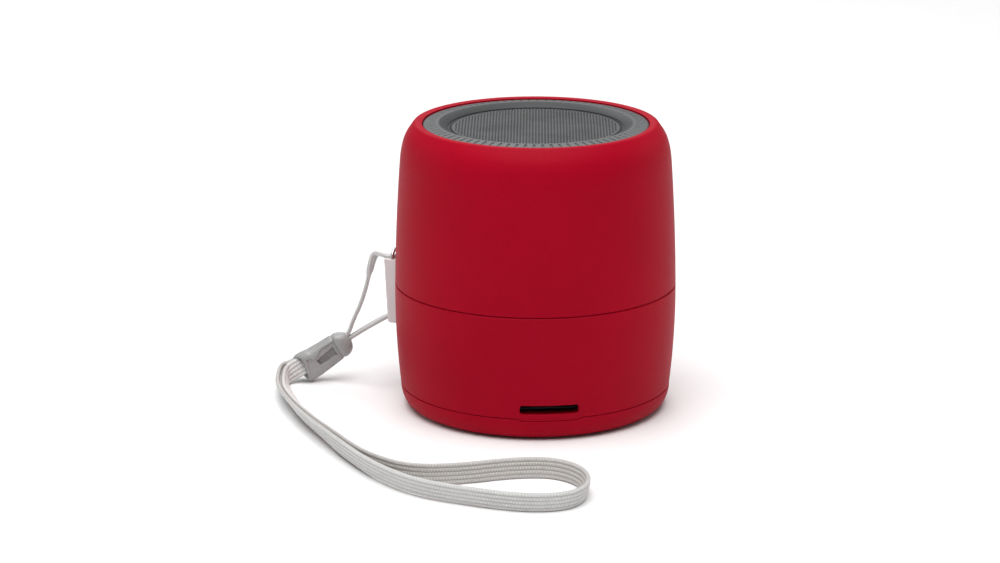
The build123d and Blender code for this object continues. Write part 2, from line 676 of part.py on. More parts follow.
# ---------------------------------------------------------------- strap

def ferrule_frame():
    """Location whose Z runs from the lace end of the ferrule to its tape end."""
    mouth = Vector(*FERRULE_MOUTH)
    axis = (Vector(*FERRULE_TOP_END) - mouth).normalized()
    sideways = Vector(0, 0, 1).cross(axis).normalized()
    return Plane(origin=mouth, x_dir=sideways, z_dir=axis)


def ferrule_length():
    return (Vector(*FERRULE_TOP_END) - Vector(*FERRULE_MOUTH)).length


def in_ferrule(x, y, z):
    """A point given in the ferrule's own frame, as a plain tuple."""
    point = ferrule_frame().from_local_coords(Vector(x, y, z))
    return point.X, point.Y, point.Z


def ferrule_sleeve():
    """The outer sleeve: a pocket for the lace, one for the cap's tongue, and a snap window."""
    width, height = SLEEVE_SECTION
    sleeve = extrude(RectangleRounded(width, height, 2.0), SLEEVE_LENGTH)
    sleeve -= block((-1.35, 1.35), (LACE_RISE - 2.3, LACE_RISE + 2.3), (0, LACE_POCKET))
    sleeve -= block((-1.2, 1.2), (-1.6, 1.6), (5.2, SLEEVE_LENGTH))
    sleeve -= block((-width, 0), (-1.0, 1.0), (5.6, 9.2))
    ground = block((-60, -30), (10, 30), (-5, GROUND_CLEARANCE))
    return ferrule_frame() * sleeve - ground


def ferrule_cap():
    """The end cap that the tape is knotted into; its tongue snaps into the sleeve."""
    width, height = CAP_SECTION
    top = ferrule_length()
    cap = extrude(Pos(0, 0, SLEEVE_LENGTH) * RectangleRounded(width, height, 1.6),
                  top - SLEEVE_LENGTH)
    cap += block((-1.2, 1.2), (-1.6, 1.6), (5.2, SLEEVE_LENGTH))
    cap += block((-1.75, -1.0), (-0.95, 0.95), (5.7, 9.1))
    cap -= block((-0.9, 0.9), (TAPE_RISE - 1.1, TAPE_RISE + 1.1), (top - TAPE_POCKET, top))
    return ferrule_frame() * cap


def strap_lace():
    """The wide lace: both ends in the ferrule's pocket, the loop lying on the ground."""
    offset = LACE_THICKNESS / 2 + 0.05
    first = in_ferrule(offset, LACE_RISE, LACE_POCKET)
    last = in_ferrule(-offset, LACE_RISE, LACE_POCKET)
    return tube("strap lace", [first] + LACE_ROUTE + [last], LACE_THICKNESS / 2)


def strap_tape():
    """The thin tape, from the ferrule over the bracket, down its tunnel and back."""
    offset = TAPE_THICKNESS / 2 + 0.1
    end = ferrule_length() - TAPE_POCKET
    upper, lower = TAPE_RISE + offset, TAPE_RISE - offset
    leaving = [in_ferrule(0, upper, end), in_ferrule(0, upper, end + TAPE_LEAD)]
    returning = [in_ferrule(0, lower, end + TAPE_LEAD), in_ferrule(0, lower, end)]
    return tube("strap tape", leaving + TAPE_ROUTE + returning, TAPE_THICKNESS / 2)


# ---------------------------------------------------------------- build

form = outer_form()
key_form = turned_points((0, 10), (30.1, 10), (30.4, 25), (0, 25))

save("upper_shell", upper_shell(form))
save("lower_shell", lower_shell(form))
save("base_cap", base_cap())
save("base_screws", base_screws())
save("foot_pad", cylinder(FOOT_R, 0, BASE_FLOOR[0]))
save("mid_frame", mid_frame())
bail = strap_bail()
save("strap_bail", bail)
save("strap_bracket", strap_bracket(form, bail))
save("grille_ring", grille_ring())
save("grille_mesh", grille_mesh())
save("dust_cloth", dust_cloth())
save("driver_carrier", driver_carrier())
save("carrier_screws", carrier_screws())
save("driver_basket", driver_basket())
save("driver_gasket", driver_gasket())
save("driver_screws", driver_screws())
save("driver_surround", driver_surround())
save("driver_cone", driver_cone())
save("driver_dust_cap", driver_dust_cap())
save("voice_coil_former", voice_coil_former())
save("voice_coil", voice_coil())
save("driver_spider", driver_spider())
save("spider_ring", spider_ring())
save("driver_top_plate", driver_top_plate())
save("driver_magnet", driver_magnet())
save("driver_yoke", driver_yoke())
save("driver_terminals", driver_terminals())
save("main_board", main_board())
save("board_screws", board_screws())
save("card_socket", card_socket())
save("usb_socket", usb_socket())
save("power_switch_body", power_switch_body())
save("power_switch_knob", power_switch_knob())
save("status_light", status_light())
save("light_pipe", light_pipe(form))
save("wireless_module", wireless_module())
save("amplifier_chips", amplifier_chips())
save("board_capacitors", board_capacitors())
save("battery_pad", battery_pad())
save("battery_cell", battery_cell())
save("battery_leads", battery_leads())
save("speaker_plug", wire_plug(*SPEAKER_PLUG))
save("speaker_leads", speaker_leads())
save("key_board", key_board())
save("key_frame", key_frame())
save("key_switches", key_switches())
for node, place in zip(("volume_down_button", "play_button", "volume_up_button"), KEY_X):
    save(node, key_button(place, key_form))
save("ferrule_sleeve", ferrule_sleeve())
save("ferrule_cap", ferrule_cap())
save("strap_lace", strap_lace())
save("strap_tape", strap_tape())
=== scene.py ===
import json
import math

import bmesh
import bpy
from mathutils import Matrix, Vector
from mathutils.geometry import delaunay_2d_cdt


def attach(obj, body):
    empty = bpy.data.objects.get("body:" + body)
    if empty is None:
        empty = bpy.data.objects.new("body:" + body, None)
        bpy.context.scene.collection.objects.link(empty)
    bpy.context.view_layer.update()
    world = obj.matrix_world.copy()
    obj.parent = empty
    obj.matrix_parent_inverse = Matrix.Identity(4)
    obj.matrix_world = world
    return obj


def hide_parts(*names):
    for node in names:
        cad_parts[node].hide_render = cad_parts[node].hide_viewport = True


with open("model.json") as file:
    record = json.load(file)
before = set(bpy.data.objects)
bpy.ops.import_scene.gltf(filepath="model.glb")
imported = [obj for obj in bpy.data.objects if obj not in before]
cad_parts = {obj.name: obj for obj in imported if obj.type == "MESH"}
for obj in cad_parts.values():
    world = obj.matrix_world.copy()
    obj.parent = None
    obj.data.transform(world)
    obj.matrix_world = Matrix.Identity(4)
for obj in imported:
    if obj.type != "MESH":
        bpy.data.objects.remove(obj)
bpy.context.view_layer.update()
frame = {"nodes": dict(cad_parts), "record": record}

# A small red wireless speaker with a wrist strap. The frame is the CAD model's: origin at the
# centre of the foot, +Z up, card slot towards -Y. Sizes are written in millimetres and turned
# into metres by MM, apart from those of the floor and the lamps, which are in metres.

MM = 0.001
UP = Vector((0, 0, 1))
ROOT = "speaker"

# ---------------------------------------------------------------- driving dimensions

CAMERA_DISTANCE = 649.3 * MM       # from the axis, over the ground
CAMERA_HEIGHT = 206.0 * MM
CAMERA_BEARING = -96.0             # where the camera stands, in degrees from +X
CAMERA_HEADING = 5.33              # turned clockwise from +Y
CAMERA_PITCH = 15.43               # looking down
CAMERA_LENS = 112.9
CAMERA_SENSOR_WIDTH = 36
CAMERA_CLIP = (0.05, 20)           # nearest and furthest distance drawn, in metres

FERRULE_MOUTH = Vector((-50.6, 18.6, 2.55)) * MM
FERRULE_TOP_END = Vector((-38.92, 19.02, 9.5)) * MM
LACE_POCKET = 2.5 * MM
LACE_RISE = 0.75 * MM              # how far above the ferrule's axis the lace sits
LACE_OFFSET = 0.5 * MM             # from that axis to each of the lace's two ends
LACE_WIDTH = 4.25 * MM
LACE_THICKNESS = 0.95 * MM
LACE_RIBS = 5
LACE_STITCH = 0.6 * MM
LACE_STEP = 0.15 * MM              # between the rings of points of its mesh
TAPE_POCKET = 0.9 * MM
TAPE_RISE = 0.75 * MM
TAPE_OFFSET = 0.45 * MM
TAPE_LEAD = 1.0 * MM
TAPE_WIDTH = 1.9 * MM
TAPE_THICKNESS = 0.95 * MM
TAPE_RIBS = 3
TAPE_STITCH = 0.4 * MM
TAPE_STEP = 0.12 * MM

# the strap's routes in millimetres, as in the CAD model
LACE_ROUTE = [
    (-51.9, 19.1, 2.7), (-53.6, 19.3, 2.45), (-54.5, 17.6, 2.3), (-54.75, 13.2, 2.3),
    (-54.55, 6.3, 2.3), (-53.3, -2.5, 2.4), (-51.3, -12.7, 2.6), (-47.5, -24.8, 2.8),
    (-43.2, -37.7, 2.7), (-37.8, -50.2, 2.5), (-30.6, -60.5, 2.3), (-20.4, -66.9, 2.2),
    (-9.2, -72.2, 2.15), (-0.4, -71.6, 2.15), (3.8, -65.6, 2.15), (3.7, -57.4, 2.15),
    (-1.4, -51.2, 2.15), (-10.2, -50.7, 2.15), (-20.9, -53.7, 2.25), (-31.0, -53.4, 2.35),
    (-38.4, -45.7, 2.5), (-43.2, -34.4, 2.7), (-46.8, -23.6, 2.8), (-50.2, -12.4, 2.6),
    (-52.3, -2.3, 2.4), (-53.5, 6.5, 2.3), (-53.7, 12.7, 2.3), (-53.35, 16.4, 2.35),
    (-52.1, 17.9, 2.65),
]
TAPE_ROUTE = [
    (-38.55, 18.6, 13.6), (-36.7, 18.0, 17.7), (-35.35, 17.3, 22.3), (-34.5, 16.7, 26.6),
    (-33.6, 16.1, 29.8), (-32.1, 14.8, 29.65), (-30.65, 13.6, 29.5), (-28.3, 13.2, 29.55),
    (-28.05, 13.4, 26.0), (-27.65, 14.0, 21.8), (-27.2, 14.7, 18.6), (-26.95, 15.1, 15.9),
    (-29.2, 16.25, 15.75), (-31.25, 16.9, 15.0), (-33.45, 17.6, 13.6), (-36.05, 18.3, 11.9),
]

# how far the lace's upper edge leans to the right of its travel, in degrees, after the
# distance in millimetres from its first end, and then from its last end
LACE_LEAN_OUT = [(0, 25), (6, 8), (20, 42), (42, 30), (65, 14), (95, 13)]
LACE_LEAN_BACK = [(95, 13), (75, 3), (58, -12), (42, -30), (20, -42), (6, -8), (0, -25)]

# which way the tape's width points: share of its length, and direction
TAPE_WIDTHS = [(0.0, (0.1, 1.0, 0.0)), (0.27, (0.1, 1.0, -0.1)), (0.32, (0.7, 0.6, -0.35)),
               (0.36, (0.55, 0.45, -0.7)), (0.41, (0.4, 0.75, -0.3)), (0.45, (0.5, 0.85, 0.0)),
               (0.6, (0.5, 0.87, 0.0)), (0.78, (0.4, 0.9, 0.1)), (0.86, (0.1, 1.0, 0.1)),
               (1.0, (0.1, 1.0, 0.0))]


# ---------------------------------------------------------------- camera

def make_camera():
    camera = bpy.data.objects.new("camera", bpy.data.cameras.new("camera"))
    bpy.context.scene.collection.objects.link(camera)
    bearing = math.radians(CAMERA_BEARING)
    camera.location = (CAMERA_DISTANCE * math.cos(bearing), CAMERA_DISTANCE * math.sin(bearing),
                       CAMERA_HEIGHT)
    camera.rotation_euler = (math.radians(90 - CAMERA_PITCH), 0, math.radians(-CAMERA_HEADING))
    camera.data.lens = CAMERA_LENS
    camera.data.sensor_width = CAMERA_SENSOR_WIDTH
    camera.data.clip_start, camera.data.clip_end = CAMERA_CLIP
    bpy.context.scene.camera = camera


# ---------------------------------------------------------------- material helpers

class Shader:
    """A node material with one Principled shader, and short ways to add nodes to it."""

    def __init__(self, name):
        self.material = bpy.data.materials.new(name)
        self.material.use_nodes = True
        self.tree = self.material.node_tree
        self.principled = self.tree.nodes["Principled BSDF"]
        self.place = self.tree.nodes.new("ShaderNodeTexCoord").outputs["Object"]

    def node(self, kind, settings=None, **inputs):
        """A new node; an input is a value, or another node's output to link."""
        node = self.tree.nodes.new(kind)
        for setting, value in (settings or {}).items():
            setattr(node, setting, value)
        for label, value in inputs.items():
            self.join(node.inputs[label.replace("_", " ")], value)
        return node

    def join(self, socket, value):
        """Link another node's output to a socket, or give the socket a constant."""
        if isinstance(value, bpy.types.NodeSocket):
            self.tree.links.new(value, socket)
        else:
            socket.default_value = value

    def noise(self, size, detail=3.0, stretch=(1, 1, 1)):
        """Noise whose blotches are about that size in metres."""
        place = self.place
        if stretch != (1, 1, 1):
            place = self.node("ShaderNodeMapping", Vector=place, Scale=stretch).outputs["Vector"]
        return self.node("ShaderNodeTexNoise", Vector=place, Scale=0.5 / size,
                         Detail=detail).outputs["Fac"]

    def bands(self, size, direction):
        """Rows across X, Y or Z, one row every size metres."""
        settings = {"wave_type": "BANDS", "bands_direction": direction}
        return self.node("ShaderNodeTexWave", settings, Vector=self.place,
                         Scale=math.pi / 10 / size).outputs["Fac"]

    def painted(self, name):
        """A number that the piece's own mesh carries at each point."""
        settings = {"attribute_type": "GEOMETRY", "attribute_name": name}
        return self.node("ShaderNodeAttribute", settings).outputs["Fac"]

    def spread(self, value, low, high, narrow=0.3):
        """Stretch the middle of a noise to run from low to high."""
        node = self.node("ShaderNodeMapRange", Value=value)
        for label, number in (("From Min", 0.5 - narrow / 2), ("From Max", 0.5 + narrow / 2),
                              ("To Min", low), ("To Max", high)):
            node.inputs[label].default_value = number
        return node.outputs["Result"]

    def mix(self, factor, first, second, blend="MIX"):
        """Two colours mixed; a colour mix node's sockets share their names, so they go by number."""
        node = self.node("ShaderNodeMix", {"data_type": "RGBA", "blend_type": blend})
        self.join(node.inputs[0], factor)
        self.join(node.inputs[6], first)
        self.join(node.inputs[7], second)
        return node.outputs[2]

    def bump(self, height, depth):
        """Surface relief that is depth metres high where height is 1."""
        node = self.node("ShaderNodeBump", Height=height, Distance=depth, Strength=1.0)
        return node.outputs["Normal"]

    def set(self, **inputs):
        """Set the Principled shader's own sockets, named with _ for each space."""
        for label, value in inputs.items():
            self.join(self.principled.inputs[label.replace("_", " ")], value)


def shade(colour, amount):
    """A colour times a number, with the alpha that a colour socket wants."""
    return tuple(channel * amount for channel in colour[:3]) + (1.0,)


def grained(name, colour, roughness, grain, depth, blotch=4 * MM, darker=0.85, metal=0.0,
            stretch=(1, 1, 1), **sockets):
    """Moulded plastic, rubber, paint or metal: uneven colour and gloss, and a fine grain."""
    shader = Shader(name)
    blotches = shader.noise(blotch, stretch=stretch)
    speckle = shader.noise(grain, detail=2.0, stretch=stretch)
    tint = shader.mix(shader.spread(blotches, 0, 1), shade(colour, 1), shade(colour, darker))
    tint = shader.mix(shader.spread(speckle, 0, 0.35), tint, shade(colour, darker * darker))
    gloss = shader.spread(blotches, roughness[0], roughness[1])
    shader.set(Base_Color=tint, Roughness=gloss, Metallic=metal,
               Normal=shader.bump(speckle, depth), **sockets)
    return shader.material


def woven(name, colour, thread, depth, darker=0.6, roughness=0.85, **sockets):
    """Cloth: threads crossing at right angles, with loose fibres between."""
    shader = Shader(name)
    across = shader.bands(thread, "X")
    along = shader.bands(thread, "Y")
    threads = shader.node("ShaderNodeMath", {"operation": "MAXIMUM"})
    shader.join(threads.inputs[0], across)
    shader.join(threads.inputs[1], along)
    fibres = shader.noise(thread / 3)
    tint = shader.mix(threads.outputs[0], shade(colour, darker), shade(colour, 1))
    tint = shader.mix(shader.spread(fibres, 0, 0.4), tint, shade(colour, darker))
    shader.set(Base_Color=tint, Roughness=shader.spread(fibres, roughness - 0.08, roughness),
               Normal=shader.bump(threads.outputs[0], depth), **sockets)
    return shader.material


# ---------------------------------------------------------------- the record's materials

def soft_touch_red(name):
    """Rubber-like paint over red plastic: matt and finely speckled, with a faint pink sheen."""
    shader = Shader(name)
    cloud = shader.noise(9 * MM)
    speckle = shader.noise(0.22 * MM, detail=1.0)
    grain = shader.noise(0.11 * MM, detail=2.0)
    tint = shader.mix(shader.spread(cloud, 0, 1), (0.372, 0.0008, 0.0145, 1),
                      (0.345, 0.0007, 0.0132, 1))
    tint = shader.mix(shader.spread(speckle, 0, 0.5), tint, (0.31, 0.0009, 0.012, 1))
    shader.set(Base_Color=tint, Roughness=shader.spread(grain, 0.46, 0.58),
               Normal=shader.bump(grain, 0.012 * MM), Specular_IOR_Level=0.055,
               Sheen_Weight=0.04, Sheen_Roughness=0.3, Sheen_Tint=(1.0, 0.5, 0.52, 1))
    return shader.material


def plastic_with_recess_shade(name, colour, dull, rough, depth, **values):
    """Satin plastic whose colour is darkened as painted shade where its mesh is marked as recessed.
    """
    shader = Shader(name)
    grain = shader.noise(0.18 * MM)
    cloud = shader.noise(6 * MM)
    tint = shader.mix(shader.spread(cloud, 0, 1), shade(colour, 1), shade(colour, 0.92))
    # painted shade: the colour is darkened by the given factor where the mesh marks a recess
    tint = shader.mix(shader.painted("recess_shade"), tint, shade(colour, dull))
    shader.set(Base_Color=tint, Roughness=shader.spread(grain, *rough),
               Normal=shader.bump(grain, depth), **values)
    return shader.material


def strap_yarn(name, colour, inner_tint, fibre):
    """Polyester braid: pale stitches with painted shade between them, painted shade down in the
    grooves between the ribs, stray fibres, and a tint on the face that looks into the loop."""
    shader = Shader(name)
    crest = shader.painted("crest")
    stitch = shader.painted("stitch")
    fibres = shader.noise(fibre, detail=3.0)
    cloud = shader.noise(5 * MM)
    # painted shade: darker down in the grooves between the ribs
    tint = shader.mix(shader.spread(crest, 0, 1, narrow=0.9), shade(colour, 0.3), shade(colour, 1))
    # painted shade: darker in the dips between the stitches
    tint = shader.mix(shader.spread(stitch, 0.5, 0, narrow=0.8), tint, shade(colour, 0.55))
    tint = shader.mix(shader.spread(fibres, 0, 0.6), tint, shade(colour, 0.55))
    tint = shader.mix(shader.spread(cloud, 0, 0.3), tint, shade(colour, 0.8))
    tint = shader.mix(shader.painted("inner"), tint, shade(inner_tint, 1), blend="MULTIPLY")
    shader.set(Base_Color=tint, Roughness=shader.spread(fibres, 0.7, 0.9),
               Normal=shader.bump(fibres, 0.02 * MM), Specular_IOR_Level=0.25)
    return shader.material


def clear_plastic(name):
    shader = Shader(name)
    haze = shader.noise(1.5 * MM)
    shader.set(Base_Color=shader.mix(haze, (0.9, 0.94, 0.95, 1), (0.8, 0.86, 0.88, 1)),
               Roughness=shader.spread(haze, 0.06, 0.16), Transmission_Weight=0.85, IOR=1.49)
    return shader.material


def copper_winding(name):
    """Lacquered wire wound in fine turns round the Z axis."""
    shader = Shader(name)
    turns = shader.bands(0.12 * MM, "Z")
    tint = shader.mix(turns, (0.25, 0.07, 0.02, 1), (0.78, 0.32, 0.12, 1))
    shader.set(Base_Color=tint, Roughness=shader.spread(turns, 0.22, 0.35), Metallic=1.0,
               Normal=shader.bump(turns, 0.04 * MM))
    return shader.material


def circuit_board(name):
    """Green lacquer over copper tracks."""
    shader = Shader(name)
    cells = shader.node("ShaderNodeTexVoronoi", {"feature": "DISTANCE_TO_EDGE",
                                                 "distance": "EUCLIDEAN"},
                        Vector=shader.place, Scale=450.0, Randomness=0.55).outputs["Distance"]
    track = shader.node("ShaderNodeMath", {"operation": "LESS_THAN"})
    shader.join(track.inputs[0], cells)
    track.inputs[1].default_value = 0.07
    tint = shader.mix(track.outputs[0], (0.008, 0.075, 0.025, 1), (0.02, 0.16, 0.05, 1))
    shader.set(Base_Color=tint, Roughness=shader.spread(shader.noise(2 * MM), 0.25, 0.38),
               Normal=shader.bump(track.outputs[0], 0.02 * MM))
    return shader.material


def make_materials():
    fine = {"grain": 0.12 * MM, "depth": 0.006 * MM}
    steel = {"metal": 1.0, "grain": 0.08 * MM, "depth": 0.002 * MM, "stretch": (1, 1, 6)}
    return {
        "body_red": soft_touch_red("body_red"),
        "key_red": grained("key_red", (0.33, 0.001, 0.012), (0.42, 0.55), **fine,
                           Specular_IOR_Level=0.12),
        "white_plastic": grained("white_plastic", (0.68, 0.62, 0.625), (0.32, 0.42), **fine,
                                 darker=0.95),
        "black_plastic": grained("black_plastic", (0.022, 0.022, 0.024), (0.4, 0.55), **fine),
        # the ring's inner wall gets painted shade at half the colour
        "grille_grey": plastic_with_recess_shade("grille_grey", (0.094, 0.098, 0.100), 0.5, (0.40, 0.52),
                                        0.008 * MM, Specular_IOR_Level=0.25),
        "mesh_grey": grained("mesh_grey", (0.070, 0.072, 0.075), (0.42, 0.55), grain=0.1 * MM,
                             depth=0.004 * MM, Specular_IOR_Level=0.25),
        "foot_rubber": grained("foot_rubber", (0.03, 0.03, 0.031), (0.7, 0.85),
                               grain=0.3 * MM, depth=0.03 * MM),
        "bail_steel": grained("bail_steel", (0.72, 0.71, 0.70), (0.30, 0.40), **steel),
        "screw_steel": grained("screw_steel", (0.55, 0.55, 0.53), (0.28, 0.42), **steel),
        "basket_paint": grained("basket_paint", (0.035, 0.035, 0.038), (0.45, 0.6), **fine),
        "ferrite": grained("ferrite", (0.06, 0.058, 0.06), (0.5, 0.7), grain=0.1 * MM,
                           depth=0.01 * MM),
        "motor_steel": grained("motor_steel", (0.55, 0.55, 0.52), (0.25, 0.4), **steel),
        "foam": grained("foam", (0.02, 0.02, 0.02), (0.9, 1.0), grain=0.4 * MM,
                        depth=0.2 * MM, darker=0.5),
        "surround_rubber": grained("surround_rubber", (0.018, 0.018, 0.02), (0.45, 0.6), **fine),
        "cone_paper": grained("cone_paper", (0.03, 0.03, 0.032), (0.75, 0.9), grain=0.25 * MM,
                              depth=0.04 * MM),
        "copper_winding": copper_winding("copper_winding"),
        "former_foil": grained("former_foil", (0.75, 0.75, 0.76), (0.25, 0.35), **steel),
        "spider_cloth": woven("spider_cloth", (0.50, 0.28, 0.08), 0.5 * MM, 0.08 * MM),
        "board_green": circuit_board("board_green"),
        "shield_steel": grained("shield_steel", (0.6, 0.6, 0.58), (0.25, 0.38), **steel),
        "chip_black": grained("chip_black", (0.016, 0.016, 0.017), (0.5, 0.62), **fine),
        "capacitor_can": grained("capacitor_can", (0.66, 0.66, 0.67), (0.22, 0.34), **steel),
        "cell_foil": grained("cell_foil", (0.58, 0.58, 0.6), (0.28, 0.4), metal=1.0,
                             grain=0.6 * MM, depth=0.03 * MM),
        "wire_insulation": grained("wire_insulation", (0.35, 0.01, 0.01), (0.4, 0.5), **fine),
        "clear_plastic": clear_plastic("clear_plastic"),
        "dust_cloth_black": woven("dust_cloth_black", (0.012, 0.012, 0.013), 0.25 * MM,
                                  0.03 * MM),
        "lace_grey": strap_yarn("lace_grey", (0.83, 0.822, 0.81), (0.78, 0.755, 0.735),
                                0.12 * MM),
        "tape_grey": strap_yarn("tape_grey", (0.86, 0.86, 0.855), (1.0, 1.0, 1.0), 0.1 * MM),
        # the snap window's floor gets painted shade at two thirds of the colour
        "ferrule_grey": plastic_with_recess_shade("ferrule_grey", (0.345, 0.347, 0.345), 0.66,
                                         (0.22, 0.32), 0.004 * MM),
    }


# ---------------------------------------------------------------- mesh helpers

def add_piece(name, mesh, materials, slot_name, body=ROOT):
    """Show a mesh in the shared frame, in one material, riding on a CAD body."""
    mesh.materials.append(materials[slot_name])
    piece = bpy.data.objects.new(name, mesh)
    bpy.context.scene.collection.objects.link(piece)
    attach(piece, body)
    return piece


def new_piece(name, points, faces, materials, slot_name):
    """A smooth mesh object from points and faces."""
    mesh = bpy.data.meshes.new(name)
    mesh.from_pydata([tuple(point) for point in points], [], faces)
    mesh.validate()
    solid = bmesh.new()
    solid.from_mesh(mesh)
    bmesh.ops.recalc_face_normals(solid, faces=solid.faces)
    solid.to_mesh(mesh)
    solid.free()
    mesh.polygons.foreach_set("use_smooth", [True] * len(mesh.polygons))
    return add_piece(name, mesh, materials, slot_name)


def paint(piece, label, values):
    """Give each point of a piece's mesh a number that its material reads."""
    piece.data.attributes.new(label, "FLOAT", "POINT").data.foreach_set("value", values)


def loft_faces(ring_count, ring_size, closed_along=False):
    """Quads between rings of points, with an end face at each open end."""
    faces = []
    spans = ring_count if closed_along else ring_count - 1
    for ring in range(spans):
        here = ring * ring_size
        there = (ring + 1) % ring_count * ring_size
        for step in range(ring_size):
            after = (step + 1) % ring_size
            faces.append((here + step, here + after, there + after, there + step))
    if not closed_along:
        faces.append(tuple(reversed(range(ring_size))))
        faces.append(tuple((ring_count - 1) * ring_size + step for step in range(ring_size)))
    return faces


def smooth_step(value, low, high):
    """0 below low, 1 above high, and an eased rise between them."""
    share = min(max((value - low) / (high - low), 0.0), 1.0)
    return share * share * (3 - 2 * share)


def between(table, place):
    """Read a list of (place, value) smoothly; a value is a number or a vector."""
    if place <= table[0][0]:
        return table[0][1]
    for (low, first), (high, second) in zip(table, table[1:]):
        if place <= high:
            share = smooth_step(place, low, high)
            return first + (second - first) * share
    return table[-1][1]


# ---------------------------------------------------------------- strap

def ferrule_frame():
    """Turns the ferrule's own frame, Z from lace end to tape end, into the shared frame."""
    along = (FERRULE_TOP_END - FERRULE_MOUTH).normalized()
    sideways = UP.cross(along).normalized()
    upward = along.cross(sideways)
    turn = Matrix((sideways, upward, along)).transposed().to_4x4()
    return Matrix.Translation(FERRULE_MOUTH) @ turn


def in_ferrule(x, y, z):
    return ferrule_frame() @ Vector((x, y, z))


def route_in_metres(route):
    return [Vector(point) * MM for point in route]


def lace_route():
    first = in_ferrule(LACE_OFFSET, LACE_RISE, LACE_POCKET)
    last = in_ferrule(-LACE_OFFSET, LACE_RISE, LACE_POCKET)
    return [first] + route_in_metres(LACE_ROUTE) + [last]


def tape_route():
    end = (FERRULE_TOP_END - FERRULE_MOUTH).length - TAPE_POCKET
    upper = TAPE_RISE + TAPE_OFFSET
    lower = TAPE_RISE - TAPE_OFFSET
    leaving = [in_ferrule(0, upper, end), in_ferrule(0, upper, end + TAPE_LEAD)]
    returning = [in_ferrule(0, lower, end + TAPE_LEAD), in_ferrule(0, lower, end)]
    return leaving + route_in_metres(TAPE_ROUTE) + returning


def smooth_line(route):
    """Points along the smooth curve that has the route as its control points."""
    curve = bpy.data.curves.new("route", "CURVE")
    curve.dimensions = "3D"
    spline = curve.splines.new("NURBS")
    spline.points.add(len(route) - 1)
    for control, place in zip(spline.points, route):
        control.co = (*place, 1.0)
    spline.order_u = 3
    spline.use_endpoint_u = True
    spline.resolution_u = 32
    holder = bpy.data.objects.new("route", curve)
    mesh = bpy.data.meshes.new_from_object(holder)
    line = [vertex.co.copy() for vertex in mesh.vertices]
    bpy.data.objects.remove(holder)
    bpy.data.curves.remove(curve)
    bpy.data.meshes.remove(mesh)
    return line


def evenly(line, step):
    """The same line as points a step apart, with their distances from its start."""
    length = sum((b - a).length for a, b in zip(line, line[1:]))
    count = max(2, round(length / step))
    step = length / count
    points = [line[0].copy()]
    passed = 0.0
    for first, second in zip(line, line[1:]):
        run = (second - first).length
        while len(points) <= count and len(points) * step <= passed + run + 1e-12:
            points.append(first.lerp(second, (len(points) * step - passed) / run))
        passed += run
    return points, [index * step for index in range(len(points))]


POINTS_PER_RIB = 5
GROOVE_SHARE = 0.42                # depth of the grooves between ribs, of the half thickness
STITCH_LIFT = 0.13                 # how far a stitch stands proud, of the half thickness
STITCH_SLANT = 0.22                # how far a stitch trails at its rib's edges, of its length
EDGE_SQUARENESS = 5                # higher keeps the braid flat nearer to its two edges


def directions(points):
    """The line's direction at each of its points."""
    ahead = points[1:] + [points[-1]]
    behind = [points[0]] + points[:-1]
    return [(b - a).normalized() for a, b in zip(behind, ahead)]


def braid_profile(ribs):
    """Points round a flat braid: place across and out, as shares of its half width and half
    thickness, height on the rib (least in a groove), place across the rib, and the rib."""
    profile = []
    for side in (1, -1):
        for rib in range(ribs):
            for step in range(POINTS_PER_RIB):
                share = step / POINTS_PER_RIB * 2 - 1
                crest = math.sqrt(1 - (0.98 * share) ** 2)
                across = side * ((rib + 0.5 + share / 2) / ribs * 2 - 1)
                flat = (1 - abs(across) ** EDGE_SQUARENESS) ** 0.5
                out = side * flat * (1 - GROOVE_SHARE * (1 - crest))
                profile.append((across, out, crest, share, rib))
    return profile


def braid(name, line, widths, size, ribs, stitch, materials, slot_name):
    """A flat braid along a line: lengthwise ribs of slanting stitches, as real geometry."""
    points, distances = line
    half_width = size[0] / 2
    half_thickness = size[1] / 2
    profile = braid_profile(ribs)
    rings, crests, stitches, inner = [], [], [], []
    for point, travel, along, width_way in zip(points, directions(points), distances, widths):
        width_way = (width_way - travel * width_way.dot(travel)).normalized()
        out_way = width_way.cross(travel)
        for across, out, crest, share, rib in profile:
            slant = STITCH_SLANT * abs(share) + (0.5 if rib % 2 else 0.0)
            wave = math.cos(2 * math.pi * (along / stitch + slant))
            lift = 1 + STITCH_LIFT * crest * wave
            rings.append(point + width_way * across * half_width
                         + out_way * out * half_thickness * lift)
            crests.append(crest)
            inner.append(1.0 if out > 0 else 0.0)
            stitches.append(0.5 + 0.5 * wave * crest)
    faces = loft_faces(len(points), len(profile))
    piece = new_piece(name, rings, faces, materials, slot_name)
    # crest and stitch also set the material's painted shade in the grooves and between the stitches
    paint(piece, "crest", crests)
    paint(piece, "stitch", stitches)
    paint(piece, "inner", inner)
    return piece


def strap_lace(materials):
    points, distances = evenly(smooth_line(lace_route()), LACE_STEP)
    length = distances[-1]
    table = [(place * MM, float(lean)) for place, lean in LACE_LEAN_OUT]
    table += [(length - place * MM, float(lean)) for place, lean in LACE_LEAN_BACK]
    widths = []
    for travel, along in zip(directions(points), distances):
        right = travel.cross(UP).normalized()
        upward = right.cross(travel)
        lean = math.radians(between(table, along))
        widths.append(upward * math.cos(lean) + right * math.sin(lean))
    lace = braid("lace_braid", (points, distances), widths, (LACE_WIDTH, LACE_THICKNESS),
                 LACE_RIBS, LACE_STITCH, materials, "lace_grey")
    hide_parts("strap_lace")


def strap_tape(materials):
    points, distances = evenly(smooth_line(tape_route()), TAPE_STEP)
    length = distances[-1]
    table = [(share * length, Vector(way).normalized()) for share, way in TAPE_WIDTHS]
    widths = [between(table, along) for along in distances]
    tape = braid("tape_weave", (points, distances), widths, (TAPE_WIDTH, TAPE_THICKNESS),
                 TAPE_RIBS, TAPE_STITCH, materials, "tape_grey")
    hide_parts("strap_tape")


# ---------------------------------------------------------------- ferrule

